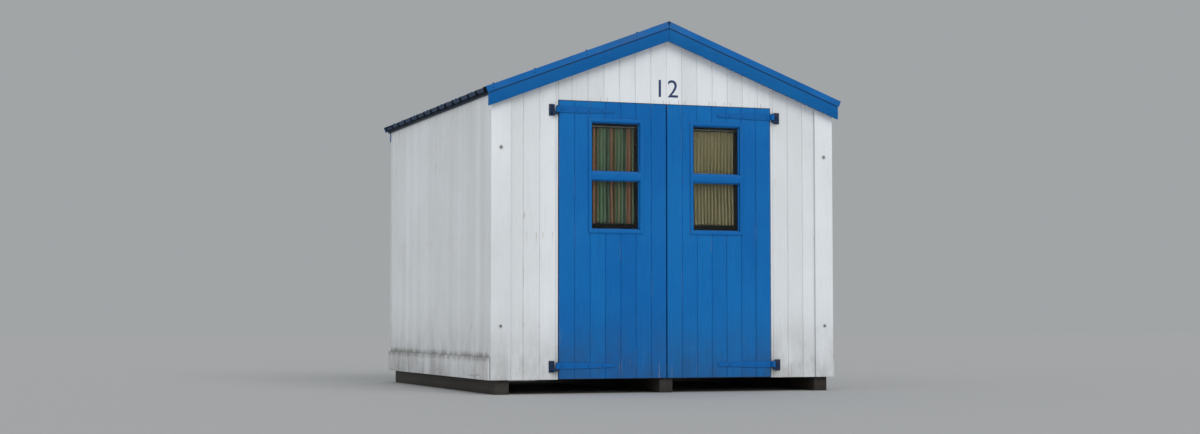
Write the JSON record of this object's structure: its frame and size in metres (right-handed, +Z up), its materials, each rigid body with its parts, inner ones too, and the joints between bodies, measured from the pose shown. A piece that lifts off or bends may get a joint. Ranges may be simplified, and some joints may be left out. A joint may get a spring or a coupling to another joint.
{
  "type": "beach hut",
  "caption": "Small white timber beach hut with a low ribbed metal gable roof and a pair of blue glazed doors that open outwards on strap hinges.",
  "frame": {"origin": "middle of the hut at ground level, under the middle bearer", "axes": "+Z up, the doors face -Y, +X to the right when facing the doors"},
  "size_m": [2.7068, 3.016, 2.631],
  "materials": {
    "white_paint": "weathered white paint",
    "blue_paint": "weathered blue paint",
    "bare_timber": "planed softwood, bare",
    "floor_timber": "worn softwood boards",
    "dark_timber": "dark preservative",
    "roof_blue_metal": "coil-coated blue sheet",
    "dark_iron": "dark weathered iron",
    "blue_iron": "blue paint over iron",
    "window_glass": "clear flat pane",
    "striped_curtain": "striped cotton",
    "plain_curtain": "plain beige cotton",
    "rod_metal": "dull zinc"
  },
  "bodies": {
    "hut": {"bearers": "dark_timber", "floor_joists": "dark_timber", "floor_boards": "floor_timber", "threshold": "floor_timber", "wall_posts": "bare_timber", "side_wall_rails": "bare_timber", "back_wall_rails": "bare_timber", "front_wall_rails": "bare_timber", "door_posts": "bare_timber", "door_header": "bare_timber", "wall_plates": "bare_timber", "gable_studs": "bare_timber", "left_wall": "white_paint", "right_wall": "white_paint", "back_wall": "white_paint", "front_wall_left": "white_paint", "front_wall_right": "white_paint", "front_gable": "white_paint", "corner_boards": "white_paint", "skirting_boards": "white_paint", "ridge_beam": "bare_timber", "purlins": "bare_timber", "left_roof_sheet": "roof_blue_metal", "right_roof_sheet": "roof_blue_metal", "ridge_cap": "roof_blue_metal", "barge_boards": "blue_paint", "verge_caps": "roof_blue_metal", "eave_boards": "blue_paint", "hinge_pintles": "dark_iron"},
    "left_door": {"left_door_boards": "blue_paint", "left_door_stiles": "blue_paint", "left_door_rails": "blue_paint", "left_window_frame": "blue_paint", "left_window_panes": "window_glass", "left_door_straps": "blue_iron", "left_curtain_rod": "rod_metal", "left_curtain": "striped_curtain"},
    "right_door": {"right_door_boards": "blue_paint", "right_door_stiles": "blue_paint", "right_door_rails": "blue_paint", "right_window_frame": "blue_paint", "right_window_panes": "window_glass", "right_door_straps": "blue_iron", "right_curtain_rod": "rod_metal", "right_curtain": "plain_curtain"}
  },
  "joints": [
    {"name": "left_door_hinge", "type": "hinge", "parent": "hut", "child": "left_door", "pos_m": [-0.819, -1.4693, 0.195], "axis": [0, 0, -1], "range_deg": [0, 170]},
    {"name": "right_door_hinge", "type": "hinge", "parent": "hut", "child": "right_door", "pos_m": [0.819, -1.4693, 0.195], "axis": [0, 0, 1], "range_deg": [0, 170]}
  ]
}
